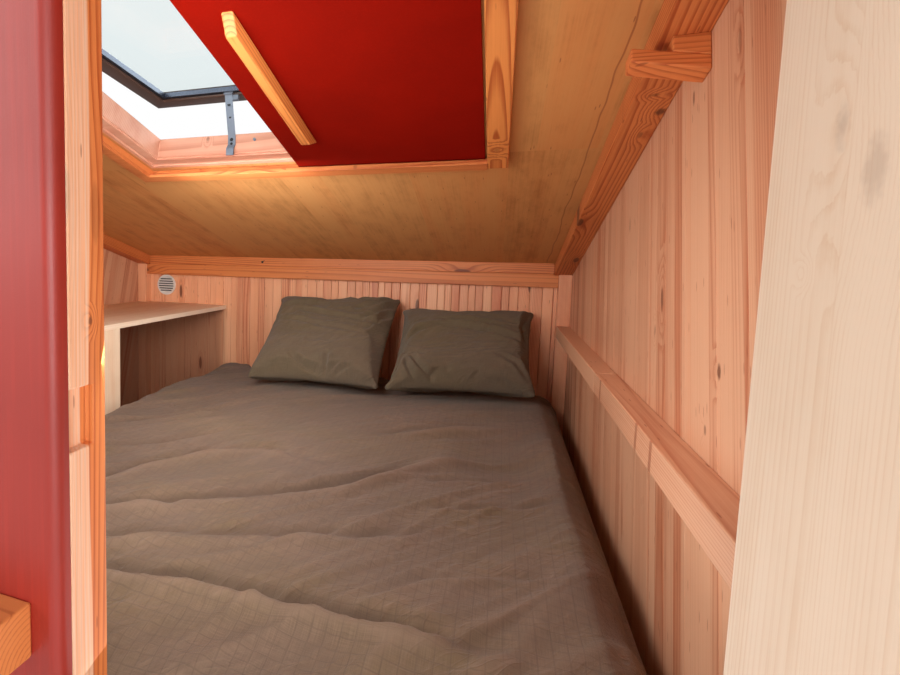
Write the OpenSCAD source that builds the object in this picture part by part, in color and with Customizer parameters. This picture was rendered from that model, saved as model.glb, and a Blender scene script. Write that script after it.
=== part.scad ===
// Sleeping alcove of a tiny house: a timber bay with a sloping ceiling, a roof window,
// a sliding shutter, a bedside shelf and a made-up double bed.
// X runs along the head wall, Y from the doorway to the head wall, Z up.

/* [Room] */
// Clear width between the side wall linings
inner_w = 1930; // [1850:1:2100]
// Clear length from the front wall to the head wall lining
inner_l = 1900; // [1850:1:2000]
// Height of the ceiling where it meets the head wall
ceiling_low_z = 908; // [860:1:1000]
// Pitch of the ceiling in degrees
slope = 14.86; // [10:0.01:20]

/* [Walls] */
// Thickness of the insulated outer walls
wall_t = 70; // [50:1:100]
// Thickness of the board linings
lining_t = 20; // [12:1:25]
// Thickness of the roof panels
roof_t = 48; // [40:1:54]
// Thickness of the roof skin
skin_t = 5; // [3:1:6]
// How far the roof runs past the head wall
eave = 50; // [20:1:80]
// Depth of the floor bearers
bearer_h = 100; // [80:1:140]
// Width of framing timber
timber = 45; // [40:1:50]
// Thickness of the floor deck
deck_t = 22; // [18:1:28]

/* [Doorway] */
// Thickness of the painted front panel
panel_t = 21; // [18:1:25]
// Depth of the timber frame behind the painted panel
post_d = 57; // [50:1:70]
// Left edge of the doorway
door_x0 = 313; // [280:1:350]
// Right edge of the doorway
door_x1 = 884; // [860:1:900]
// Height of the sill
door_z0 = 300; // [250:1:340]
// Underside of the header
door_z1 = 1290; // [1200:1:1300]
// Thickness of the deep jamb board on the right
jamb_t = 30; // [25:1:40]
// Depth of that jamb board
jamb_d = 200; // [180:1:240]
// Width of the post beside the doorway
post_w = 57; // [50:1:80]
// Rounding of the painted panel's edge
edge_r = 14; // [8:1:18]

/* [Roof window] */
// Left side of the clear opening
win_x0 = -192; // [-200:1:-180]
// Width of the clear opening
win_w = 400; // [390:1:410]
// Lower end of the opening, up the slope from the head wall
win_v0 = 1075; // [1070:1:1080]
// Length of the opening up the slope
win_len = 706; // [700:1:710]
// Height of the window's lining over the ceiling
curb_h = 65; // [60:1:70]
// How far the sash is open, in degrees
sash_open = 8; // [6:0.5:10]
// Width of the sash bars
sash_w = 44; // [40:1:50]
// Depth of the sash bars
sash_d = 30; // [28:1:34]

/* [Shutter] */
// Width of the sliding shutter panel
shutter_w = 460; // [455:1:465]
// Thickness of the shutter panel
shutter_t = 4; // [3:1:5]
// Left side of the batten that stops the open shutter
stop_x = 673; // [670:1:690]
// Clearance round the moving panel
play = 5; // [5:1:6]
// Width of the rails that the panel slides in
rail_w = 36; // [32:1:36]
// Thickness of the lip that carries the panel
lip_t = 11; // [8:1:12]
// How far the panel reaches into the rails
bite = 10; // [8:1:12]
// Length of the batten that the hand pulls
handle_len = 470; // [400:1:480]
// Width of that batten
handle_w = 23; // [20:1:40]

/* [Bed and shelf] */
// Depth of the bedside shelf from the left wall
shelf_d = 471; // [430:1:490]
// Height of the shelf top
shelf_z = 684; // [660:1:700]
// Thickness of the shelf boards
shelf_t = 18; // [15:1:27]
// Length of the open niche from the head wall
niche_l = 811; // [780:1:850]
// Height of the mattress
mattress_h = 200; // [160:1:210]
// Height of the duvet on the mattress
duvet_h = 118; // [90:1:120]
// Thickness of a pillow
pillow_t = 110; // [90:1:120]
// How far the pillows lean back, in degrees
pillow_lean = 28; // [20:1:32]
// Top of the rail on the right wall
rail_z = 680; // [660:1:700]

/* [Hidden] */
$fn = 48;

eps = 1;
seam = 0.03;
front_t = panel_t + post_d;
jamb_out = jamb_d - front_t;
outer_w = inner_w + 2 * (wall_t + lining_t);
total_l = jamb_out + front_t + inner_l + lining_t + wall_t + eave;

// The origin is under the middle of the whole bay
y_jamb = -total_l / 2;
y_front = y_jamb + jamb_out;
y_room = y_front + front_t;
y_head = y_room + inner_l;
y_back = y_head + lining_t + wall_t;

x_left = -inner_w / 2;
x_right = inner_w / 2;
floor_z = bearer_h + deck_t;

// Ceiling height at a place along the room
function ceiling(y) = ceiling_low_z + (y_head - y) * tan(slope);

// Distance up the slope from the head wall for a place along the room
function up(y) = (y_head - y) / cos(slope);

// The window's lining, trim and sash, with the hinge along the upper end
curb_t = 47;
trim_w = 34;
trim_h = 5;
quirk_w = 4;
quirk_h = 10;
hinge_v = win_v0 + win_len + 19;
hinge_h = curb_h + 0.5;
sash_len = 750;
sash_x0 = win_x0 - 36;
sash_x1 = win_x0 + win_w + 36;
rim_w = 10;
rim_d = 8;
glass_t = 10;
bead_w = 14;

// The shutter and the rails that it slides in, with their inner faces round the window
rail_gap = 51;
rail_x = win_x0 - rail_gap - 5;
rail_v0 = win_v0 - rail_gap;
rail_v1 = win_v0 + win_len + rail_gap;
groove_h = shutter_t + 2 * play;
rail_h = groove_h + lip_t;
shutter_x1 = stop_x - play;
shutter_x0 = shutter_x1 - shutter_w;
shutter_v0 = rail_v0 - bite;
shutter_v1 = rail_v1 + bite;
handle_x = 288;
handle_v = 1148;
handle_t = 28;
handle_cut_low = 48;
handle_cut_high = 26;
stop_t = 22;

plate_up_h = 34;
plate_low_h = 51;
plate_d = 28;
plate_low_d = 34;
rafter_w = 60;
rafter_d = 45;
corbel_v = 1442;
corbel_d = 38;
corbel_l = 95;
corbel_t = 21;
corbel_h = -100;
corbel_rise = 21;
rail_joint_y = y_head - 985;
notch_z0 = 723;
notch_h = 65;
notch_w = 38;
notch_d = 12;
ledger = 60;
ledger_z = 567;
soft_gap = 2;
shelf_x = x_left + shelf_d;
bed_w = 1400;
bed_x0 = shelf_x + 5;
bed_x1 = bed_x0 + bed_w;
bed_l = inner_l - 20;
duvet_w = bed_w + 12;
pillow_l = 490;
vent_r = 50;

// How high over the ceiling plane the corbel's top lies, a distance from the wall
function corbel_top(away) = corbel_h + corbel_t + corbel_rise * away / corbel_l;

module box(x0, x1, y0, y1, z0, z1) {
    translate([x0, y0, z0]) cube([x1 - x0, y1 - y0, z1 - z0]);
}

// Turns its children into the plane of the ceiling: X across, -Y up the slope, Z outwards
module on_slope() {
    translate([0, y_head, ceiling_low_z]) rotate([-slope, 0, 0]) children();
}

// A slab in the plane of the ceiling, between two places up the slope
module slab(x0, x1, v0, v1, h0, h1) {
    on_slope() box(x0, x1, -v1, -v0, h0, h1);
}

// A wall under the ceiling, seen from the side and drawn out across the room
module raked(x0, x1, y0, y1, z0, drop = 0) {
    translate([x0, 0, 0]) rotate([90, 0, 90]) linear_extrude(height = x1 - x0)
        polygon([[y0, z0], [y1, z0], [y1, ceiling(y1) - drop], [y0, ceiling(y0) - drop]]);
}

module floor_bearers() {
    color("burlywood")
        for (i = [0 : 4])
            translate([-outer_w / 2 + i * (outer_w - timber) / 4, y_front + panel_t, 0])
                cube([timber, y_back - y_front - panel_t, bearer_h]);
}

module floor_deck() {
    color("wheat") box(-outer_w / 2, outer_w / 2, y_front + panel_t, y_back, bearer_h, floor_z);
}

module head_wall() {
    color("peru") raked(-outer_w / 2, outer_w / 2, y_head + lining_t, y_back, floor_z);
}

module head_lining() {
    color("sandybrown") raked(x_left, x_right, y_head, y_head + lining_t, floor_z);
}

module left_wall() {
    color("peru") raked(-outer_w / 2, x_left - lining_t, y_room, y_head + lining_t, floor_z);
}

module left_lining() {
    color("sandybrown") raked(x_left - lining_t, x_left, y_room, y_head + lining_t, floor_z);
}

module right_wall() {
    color("peru") raked(x_right + lining_t, outer_w / 2, y_room, y_head + lining_t, floor_z);
}

module right_lining() {
    color("lightsalmon")
        raked(x_right, x_right + lining_t, y_room, y_head + lining_t, floor_z);
}

// The painted panel left of the doorway, with a rounded edge along the opening
module front_panel() {
    edge = [for (a = [0 : 10 : 90])
        [door_x0 - edge_r + edge_r * sin(a), y_front + edge_r - edge_r * cos(a)]];
    color("firebrick") difference() {
        linear_extrude(height = ceiling(y_front + panel_t) - eps)
            polygon(concat([[-outer_w / 2, y_front + panel_t], [-outer_w / 2, y_front]],
                edge, [[door_x0, y_front + panel_t]]));
        slab(-outer_w, outer_w, up(y_room), up(y_front) * 2, 0, ceiling_low_z);
    }
}

// The studwork behind the painted panel
module front_frame() {
    color("burlywood")
        raked(-outer_w / 2, door_x0 - post_w, y_front + panel_t, y_room, floor_z);
}

// The post on the left of the doorway, with a recess for the catch
module latch_post() {
    color("navajowhite") difference() {
        raked(door_x0 - post_w, door_x0, y_front + panel_t, y_room, floor_z);
        box(door_x0 - notch_d, door_x0 + eps, y_front + panel_t - eps,
            y_front + panel_t + notch_w, notch_z0, notch_z0 + notch_h);
    }
}

// Front work from the ground up whose back part stands on the deck
module over_deck(x0, x1, y0) {
    difference() {
        raked(x0, x1, y0, y_room, 0);
        box(x0 - eps, x1 + eps, y_front + panel_t, y_room + eps, -eps, floor_z);
    }
}

module front_wall_right() {
    color("firebrick") over_deck(door_x1 + jamb_t, outer_w / 2, y_front);
}

module right_jamb() {
    color("blanchedalmond") over_deck(door_x1, door_x1 + jamb_t, y_jamb);
}

module front_header() {
    color("firebrick") raked(door_x0, door_x1, y_front, y_room, door_z1);
}

module front_sill() {
    color("firebrick") intersection() {
        over_deck(door_x0, door_x1, y_front);
        box(door_x0, door_x1, y_front, y_room, 0, door_z0);
    }
}

module front_ledger() {
    color("sienna") box(-outer_w / 2, door_x0 - 34, y_front - ledger, y_front,
        ledger_z - ledger, ledger_z);
}

module head_plate_upper() {
    color("sandybrown") raked(x_left + rafter_w, x_right - rafter_w, y_head - plate_d, y_head,
        ceiling_low_z - plate_up_h);
}

module head_plate_lower() {
    z1 = ceiling_low_z - plate_up_h;
    color("sandybrown") difference() {
        box(x_left + timber, x_right - timber, y_head - plate_low_d, y_head,
            z1 - plate_low_h, z1);
        rafters();
    }
}

// A post in each corner of the head wall, under the rafter's end
module corner_posts() {
    for (x = [x_left, x_right - timber])
        color("navajowhite")
            raked(x, x + timber, y_head - timber, y_head, floor_z, rafter_d / cos(slope));
}

// A rafter under the ceiling along each side wall
module rafters() {
    for (x = [x_left, x_right - rafter_w])
        color("chocolate") translate([x, 0, 0]) rotate([90, 0, 90])
            linear_extrude(height = rafter_w)
                polygon([for (y = [y_room, y_head]) [y, ceiling(y)],
                    for (y = [y_head, y_room]) [y, ceiling(y) - rafter_d / cos(slope)]]);
}

// A short block on the side wall, tilted towards its free end
module corbel() {
    color("sandybrown") on_slope() translate([0, -corbel_v, 0]) rotate([90, 0, 0])
        linear_extrude(height = corbel_d)
            polygon([[x_right - corbel_l, corbel_h + corbel_rise],
                [x_right, corbel_h], [x_right, corbel_h + corbel_t],
                [x_right - corbel_l, corbel_h + corbel_rise + corbel_t]]);
}

// A wedge on the corbel that carries the rafter
module rafter_packer() {
    color("chocolate") on_slope() translate([0, -corbel_v, 0]) rotate([90, 0, 0])
        linear_extrude(height = corbel_d)
            polygon([[x_right - timber, corbel_top(timber)], [x_right, corbel_top(0)],
                [x_right, -rafter_d - seam], [x_right - timber, -rafter_d - seam]]);
}

module wall_rail(y0, y1) {
    color("sandybrown") box(x_right - timber, x_right, y0, y1, rail_z - timber, rail_z);
}

module wall_rail_head() {
    wall_rail(rail_joint_y, y_head - timber);
}

module wall_rail_front() {
    wall_rail(y_room, rail_joint_y);
}

module ceiling_panel(x0, x1, v0, v1) {
    color("goldenrod") slab(x0, x1, v0 + seam, v1 - seam, seam, roof_t - seam);
}

hole_x0 = win_x0 - curb_t;
hole_x1 = win_x0 + win_w + curb_t;
hole_v0 = win_v0 - curb_t;
hole_v1 = win_v0 + win_len + curb_t;
roof_v0 = -(lining_t + wall_t + eave) / cos(slope) + (roof_t + skin_t) * tan(slope);
roof_v1 = up(y_front);

module ceiling_low() {
    ceiling_panel(-outer_w / 2, outer_w / 2, roof_v0, hole_v0);
}

module ceiling_left() {
    ceiling_panel(-outer_w / 2, hole_x0 - seam, hole_v0, hole_v1);
}

module ceiling_right() {
    ceiling_panel(hole_x1 + seam, outer_w / 2, hole_v0, hole_v1);
}

module ceiling_high() {
    ceiling_panel(-outer_w / 2, outer_w / 2, hole_v1, roof_v1);
}

// The roof's metal sheet, in pans with an upright folded seam between each two
module roof_skin() {
    pans = 4;
    fold_t = 8;
    fold_h = 24;
    top = roof_t + skin_t;
    color("dimgray") difference() {
        union() {
            slab(-outer_w / 2, outer_w / 2, roof_v0, roof_v1, roof_t, top);
            for (i = [0 : pans])
                translate([i * (outer_w - fold_t) / pans, 0, 0])
                    slab(-outer_w / 2, -outer_w / 2 + fold_t, roof_v0 + 12, roof_v1,
                        top - eps, top + fold_h);
        }
        slab(hole_x0, hole_x1, hole_v0, hole_v1, roof_t - eps, top + eps);
        slab(hole_x0, hole_x1, hole_v0 - timber, hole_v1 + timber, top, top + 2 * fold_h);
    }
}

// The stepped lining of the roof window, standing a little above the roof
module window_curb() {
    color("lightsalmon") difference() {
        slab(hole_x0, hole_x1, hole_v0, hole_v1, 0, curb_h);
        for (step = [[0, curb_h + eps], [quirk_w, quirk_h], [trim_w, trim_h]])
            slab(win_x0 - step[0], win_x0 + win_w + step[0], win_v0 - step[0],
                win_v0 + win_len + step[0], -eps, step[1]);
    }
}

// Turns its children with the open sash, about its hinge along the upper end
module opened() {
    on_slope() translate([0, -hinge_v, hinge_h]) rotate([sash_open, 0, 0]) children();
}

// An opening through the sash, set in from its outer edge, between two depths
module sash_cut(inset, d0, d1) {
    box(sash_x0 + inset, sash_x1 - inset, inset, sash_len - inset, d0, d1);
}

// The sash's bars, with a rim inside them that carries the pane
module sash_frame() {
    color("saddlebrown") opened() difference() {
        sash_cut(0, 0, sash_d);
        sash_cut(sash_w, -eps, rim_d);
        sash_cut(sash_w + rim_w, -eps, sash_d + eps);
        sash_cut(sash_w + rim_w - bead_w, sash_d - glass_t, sash_d + eps);
    }
}

module sash_glass() {
    color("lightcyan") opened() sash_cut(sash_w + rim_w - bead_w, sash_d - glass_t, sash_d);
}

// The bent flat bar that props the sash open. It is pinned to the lining, and its top
// lies against the sash's lower bar, under the rim.
module stay_bar() {
    stay_w = 22;
    stay_t = 3;
    pin_h = 58;
    foot_h = 0.5;
    foot_v = 10;
    top_v = 27.2;
    top_h = hinge_h + (hinge_v - win_v0 - top_v - stay_t) * tan(sash_open)
        + rim_d / cos(sash_open);
    back = [[foot_v, foot_h], [foot_v, 20], [0, 34], [0, pin_h], [top_v, top_h - 16],
        [top_v, top_h]];
    front = [for (i = [len(back) - 1 : -1 : 0]) back[i] + [stay_t, 0]];
    color("lightsteelblue") on_slope() translate([0, -win_v0, 0]) intersection() {
        rotate([90, 0, -90]) translate([0, 0, -3 * stay_w])
            linear_extrude(height = 3 * stay_w) polygon(concat(back, front));
        translate([0, timber, 0]) rotate([90, 0, 0]) linear_extrude(height = 3 * timber)
            polygon([[28, foot_h - eps], [28 + stay_w, foot_h - eps],
                [10 + stay_w, top_h + eps], [10, top_h + eps]]);
    }
}

// Rails on three sides of the sliding shutter: below, above and at the closed end.
// set_back is how far the two long ones stand back from their inner faces, from height
// h0 to height h1.
module three_sides(set_back, h0, h1) {
    difference() {
        slab(rail_x - rail_w, stop_x, rail_v0 - rail_w, rail_v1 + rail_w, h0, h1);
        slab(rail_x, stop_x + eps, rail_v0 - set_back, rail_v1 + set_back, h0 - eps, h1 + eps);
    }
}

// The backs of the rails, which leave a groove under the ceiling for the panel to run in
module shutter_spacers() {
    color("burlywood") three_sides(bite + play, -groove_h, 0);
}

// The lips of the rails, which carry the panel
module shutter_lips() {
    color("burlywood") three_sides(0, -rail_h, -groove_h);
}

module stop_batten() {
    color("goldenrod") slab(stop_x, stop_x + timber, 988, up(y_room) - 60, -stop_t, 0);
}

module shutter_panel() {
    color("firebrick") slab(shutter_x0, shutter_x1, shutter_v0, shutter_v1,
        -play - shutter_t, -play);
}

// The batten that the hand pulls, cut at a slant at both ends
module shutter_handle() {
    color("peru") on_slope()
        translate([handle_x - handle_w / 2, -handle_v, -play - shutter_t])
            rotate([90, 0, 90]) linear_extrude(height = handle_w)
                polygon([[0, 0], [-handle_len, 0],
                    [handle_cut_high - handle_len, -handle_t], [-handle_cut_low, -handle_t]]);
}

module shelf_top() {
    color("wheat") difference() {
        box(x_left, shelf_x, y_room, y_head, shelf_z - shelf_t, shelf_z);
        corner_posts();
    }
}

module shelf_front() {
    color("wheat") box(shelf_x - shelf_t, shelf_x, y_room, y_head - niche_l,
        floor_z, shelf_z - shelf_t);
}

// A block with half-round long edges, drawn out along Y
module soft_block(w, l, h) {
    r = h / 2;
    rotate([-90, 0, 0]) translate([0, -h, 0]) linear_extrude(height = l) union() {
        translate([r, r]) circle(r);
        translate([w - r, r]) circle(r);
        translate([r, 0]) square([w - 2 * r, h]);
    }
}

module mattress() {
    color("whitesmoke") box(bed_x0, bed_x1, y_room + 10, y_room + 10 + bed_l,
        floor_z, floor_z + mattress_h);
}

module duvet() {
    color("dimgray")
        translate([bed_x0 + soft_gap, y_room + 6, floor_z + mattress_h + soft_gap])
            soft_block(duvet_w, bed_l - 34, duvet_h);
}

// A pillow between two places across the bed, leaning on the head wall
module pillow(x0, x1) {
    color("darkolivegreen")
        translate([x0, y_head - pillow_l + 42, floor_z + mattress_h + duvet_h + 2 * soft_gap])
            rotate([pillow_lean, 0, 0]) soft_block(x1 - x0, pillow_l, pillow_t);
}

module pillow_left() {
    pillow(-185, 340);
}

module pillow_right() {
    pillow(356, 844);
}

// A round louvred vent in the head wall lining
module vent_grille() {
    vent_x = x_left + 140;
    vent_z = 771;
    slats = 6;
    color("white") translate([vent_x, y_head, vent_z]) rotate([90, 0, 0]) {
        difference() {
            cylinder(r = vent_r, h = 8);
            translate([0, 0, 3]) cylinder(r = vent_r - 7, h = 8);
        }
        intersection() {
            cylinder(r = vent_r - 6, h = 8);
            for (i = [0 : slats - 1])
                translate([-vent_r, (i - (slats - 1) / 2) * 14 - 3, 2])
                    rotate([20, 0, 0]) cube([2 * vent_r, 9, 2]);
        }
    }
}

floor_bearers();
floor_deck();
head_wall();
head_lining();
left_wall();
left_lining();
right_wall();
right_lining();
front_panel();
front_frame();
front_wall_right();
latch_post();
right_jamb();
front_header();
front_sill();
front_ledger();
head_plate_upper();
head_plate_lower();
corner_posts();
rafters();
corbel();
rafter_packer();
wall_rail_head();
wall_rail_front();
ceiling_low();
ceiling_left();
ceiling_right();
ceiling_high();
roof_skin();
window_curb();
sash_frame();
sash_glass();
stay_bar();
shutter_spacers();
shutter_lips();
stop_batten();
shutter_panel();
shutter_handle();
shelf_top();
shelf_front();
mattress();
duvet();
pillow_left();
pillow_right();
vent_grille();
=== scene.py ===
"""Dresses the sleeping alcove of a tiny house: boards, timbers, roof window, shutter and bed."""

import math
import random

import bmesh
import bpy
from bpy.props import FloatProperty, FloatVectorProperty, PointerProperty
from mathutils import Matrix, Vector, noise


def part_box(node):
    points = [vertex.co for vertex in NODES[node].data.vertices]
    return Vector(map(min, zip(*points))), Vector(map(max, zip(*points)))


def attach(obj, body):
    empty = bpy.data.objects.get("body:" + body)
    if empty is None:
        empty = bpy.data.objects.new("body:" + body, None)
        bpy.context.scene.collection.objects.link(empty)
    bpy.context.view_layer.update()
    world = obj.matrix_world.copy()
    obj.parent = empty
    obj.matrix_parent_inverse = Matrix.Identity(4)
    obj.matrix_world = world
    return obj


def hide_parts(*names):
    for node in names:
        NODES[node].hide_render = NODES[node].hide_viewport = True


bl_info = {
    "name": "Sleeping alcove",
    "version": (1, 0, 0),
    "blender": (4, 5, 0),
    "location": "3D View > Sidebar > Alcove",
    "description": "Boards, timbers, roof window, shutter and bed of a sleeping alcove",
    "category": "Object",
}

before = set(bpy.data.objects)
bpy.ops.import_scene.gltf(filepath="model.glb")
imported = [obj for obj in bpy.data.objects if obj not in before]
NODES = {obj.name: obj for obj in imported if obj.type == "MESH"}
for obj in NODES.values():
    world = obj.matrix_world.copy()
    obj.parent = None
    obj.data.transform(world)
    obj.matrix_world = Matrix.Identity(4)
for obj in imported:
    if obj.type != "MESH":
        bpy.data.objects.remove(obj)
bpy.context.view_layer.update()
RNG = random.Random(11)

# Places in the bay, in metres
SLOPE = math.radians(14.86)
HEAD_LOW, HEAD_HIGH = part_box("head_lining")
LEFT = HEAD_LOW.x
RIGHT = HEAD_HIGH.x
HEAD_Y = HEAD_LOW.y
FLOOR_Z = HEAD_LOW.z
CEILING_LOW_Z = 0.908
FRONT_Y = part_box("front_panel")[0].y
BED_MIDDLE_X = 0.2
WALL_TOP_Z = CEILING_LOW_Z + (HEAD_Y - FRONT_Y) * math.tan(SLOPE)

X_AXIS = Vector((1, 0, 0))
Y_AXIS = Vector((0, 1, 0))
Z_AXIS = Vector((0, 0, 1))
UP_SLOPE = Vector((0, -math.cos(SLOPE), math.sin(SLOPE)))
OUT_OF_SLOPE = Vector((0, math.sin(SLOPE), math.cos(SLOPE)))
CEILING_START = (0, HEAD_Y, CEILING_LOW_Z)

# The slope's own place, with X across it, -Y up it and Z out of it, and on it the roof window's
ON_SLOPE = Matrix.Translation(CEILING_START) @ Matrix.Rotation(-SLOPE, 4, "X")
SASH_HINGE = (0, -1.8, 0.0655)
SASH_ANGLE = math.radians(8)
OPENED = ON_SLOPE @ Matrix.Translation(SASH_HINGE) @ Matrix.Rotation(SASH_ANGLE, 4, "X")
CURB_CORNERS = (Vector((-0.239, -1.828, 0)), Vector((0.255, -1.028, 0)))
SASH_CORNERS = (Vector((-0.228, 0, 0)), Vector((0.244, 0.75, 0.03)))
ROOF_TOP = 0.053

# The boards and battens outside, the corner boards of the head wall, and the gaps between boards
BOARD_THICK = 0.012
BATTEN_THICK = 0.008
CORNER_BOARD = 0.018
BOARD_GAP = 0.004

# How far the duvet's filling may stand over its plain solid
DUVET_GROWTH = 0.012

# Each grain: the way the fibres run, and the way across the board's face
GRAINS = {
    "up": (Z_AXIS, X_AXIS),
    "side": (Z_AXIS, Y_AXIS),
    "leaning": (OUT_OF_SLOPE, -UP_SLOPE),
    "wide": (X_AXIS, Z_AXIS),
    "flat": (X_AXIS, Y_AXIS),
    "long": (Y_AXIS, X_AXIS),
    "slope": (UP_SLOPE, X_AXIS),
    "slope_wide": (X_AXIS, UP_SLOPE),
}


def srgb(*levels):
    """A screen colour from 0 to 255 as the linear colour that shaders use."""
    return tuple(((c / 255 + 0.055) / 1.055) ** 2.4 if c > 10 else c / 3295 for c in levels)


def length(name, words, default):
    """A size in metres that a user may change."""
    return FloatProperty(
        name=name, description=words, default=default, min=0, max=1, unit="LENGTH", precision=4
    )


def colour(name, words, *levels):
    """A colour that a user may change."""
    return FloatVectorProperty(
        name=name, description=words, default=srgb(*levels), size=3, min=0, max=1, subtype="COLOR"
    )


class AlcoveSizes(bpy.types.PropertyGroup):
    """Sizes of the boards, edges and folds."""

    edge: length("Timber edge", "Rounding along the edges of planed timber", 0.002)
    strip_low: length("Narrowest strip", "Width of the narrowest strip on the head wall", 0.026)
    strip_high: length("Widest strip", "Width of the widest strip on the head wall", 0.044)
    groove: length("Groove", "Depth of the groove between two strips", 0.0026)
    side_board: length("Side board", "Width of the boards on the side walls", 0.112)
    cladding: length("Cladding board", "Width of the boards outside", 0.145)
    batten: length("Cover batten", "Width of the battens over the joints outside", 0.04)
    check: length("Check", "Width of one square of the duvet's check", 0.02)
    fold: length("Fold", "Height of the duvet's long folds", 0.018)
    pillow_belly: length("Pillow belly", "Thickness of a filled pillow", 0.15)


class AlcoveFinishes(bpy.types.PropertyGroup):
    """Colours of the finishes."""

    douglas: colour("Framing", "Early wood of the reddish framing", 218, 132, 72)
    douglas_late: colour("Framing rings", "Late wood of the reddish framing", 164, 72, 26)
    salmon: colour("Side boards", "Early wood of the side boards", 214, 163, 128)
    salmon_late: colour("Side board rings", "Late wood of the side boards", 174, 98, 62)
    strip: colour("Head strips", "Early wood of the head wall's strips", 246, 184, 140)
    # Painted shade: the darker tone given to the lining under the shelf, where the shelf shades it
    under_shelf_shade: colour("Unfaded wood", "Lining under the shelf that no sun has bleached", 104, 46, 26)
    strip_late: colour("Head strip rings", "Late wood of the head wall's strips", 198, 108, 70)
    blush: colour("Window lining", "Early wood of the window's lining", 226, 174, 148)
    blush_late: colour("Window lining rings", "Late wood of the window's lining", 192, 126, 100)
    figured: colour("Batten", "Early wood of the figured batten", 226, 142, 72)
    figured_late: colour("Batten rings", "Late wood of the figured batten", 170, 80, 30)
    ceiling: colour("Ceiling", "Light wood of the ceiling", 207, 146, 85)
    ceiling_late: colour("Ceiling rings", "Dark wood of the ceiling", 160, 104, 50)
    spruce: colour("Pale boards", "Light wood of the jamb, shelf and posts", 246, 226, 200)
    spruce_late: colour("Pale board rings", "Dark wood of the pale boards", 222, 184, 144)
    sawn: colour("Sawn wood", "Sawn structural wood", 196, 160, 116)
    sawn_late: colour("Sawn rings", "Dark rings of sawn wood", 150, 112, 72)
    larch: colour("Cladding", "Early wood of the cladding", 190, 138, 92)
    larch_late: colour("Cladding rings", "Late wood of the cladding", 142, 92, 54)
    knot: colour("Knots", "Heart of a knot", 96, 44, 20)
    fleck: colour("Flecks", "Small resin flecks", 134, 62, 30)
    red: colour("Red paint", "Matt red paint of the shutter", 130, 12, 1)
    # The front wall's own red paint, its green and blue raised as a painted sheen
    red_wall_with_sheen: colour("Red wall", "Red paint of the front wall", 150, 40, 28)
    duvet: colour("Duvet", "Linen of the duvet", 112, 91, 74)
    pillow: colour("Pillows", "Linen of the pillows", 98, 84, 66)
    roof: colour("Roof sheet", "Coated metal of the roof", 96, 98, 100)
    sash: colour("Sash", "Coated frame of the roof window", 84, 58, 46)
    rim: colour("Sash rim", "Aluminium rim of the roof window", 92, 98, 112)
    # Also near black for the hook, and painted shade for the stay's holes and the vent's gaps
    gasket: colour("Gasket", "Rubber gasket of the roof window", 22, 22, 24)
    zinc: colour("Zinc", "Galvanised steel", 132, 140, 154)


def sizes():
    return bpy.context.scene.alcove_sizes


def shade(name):
    """A finish's colour with its alpha."""
    return (*getattr(bpy.context.scene.alcove_finishes, name), 1.0)


def toned(name, *factors):
    """A finish's colour times one factor, or times one for each channel."""
    if len(factors) == 1:
        factors *= 3
    return (*(min(1.0, level * factor) for level, factor in zip(shade(name), factors)), 1.0)


class Wire:
    """A shader socket that Python's operators work on: an expression adds its own nodes."""

    def __init__(self, graph, socket):
        self.graph = graph
        self.socket = socket

    def math(self, operation, *others):
        values = dict(enumerate((self, *others)))
        return self.graph.add("ShaderNodeMath", {"operation": operation}, values)

    def __add__(self, other):
        return self.math("ADD", other)

    def __mul__(self, other):
        return self.math("MULTIPLY", other)

    def __sub__(self, other):
        return self.math("SUBTRACT", other)

    def __truediv__(self, other):
        return self.math("DIVIDE", other)

    def __rsub__(self, other):
        return self.graph.add("ShaderNodeMath", {"operation": "SUBTRACT"}, {0: other, 1: self})

    __radd__ = __add__
    __rmul__ = __mul__

    def __abs__(self):
        return self.math("ABSOLUTE")

    def step(self, low, high, start=0.0, stop=1.0):
        """A soft step from start, below low, to stop, above high."""
        settings = {"interpolation_type": "SMOOTHSTEP"}
        inputs = {0: self, 1: low, 2: high, 3: start, 4: stop}
        return self.graph.add("ShaderNodeMapRange", settings, inputs)

    def dot(self, direction):
        """How far along a direction a vector reaches."""
        settings = {"operation": "DOT_PRODUCT"}
        inputs = {0: self, 1: tuple(direction)}
        return self.graph.add("ShaderNodeVectorMath", settings, inputs, out="Value")


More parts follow.
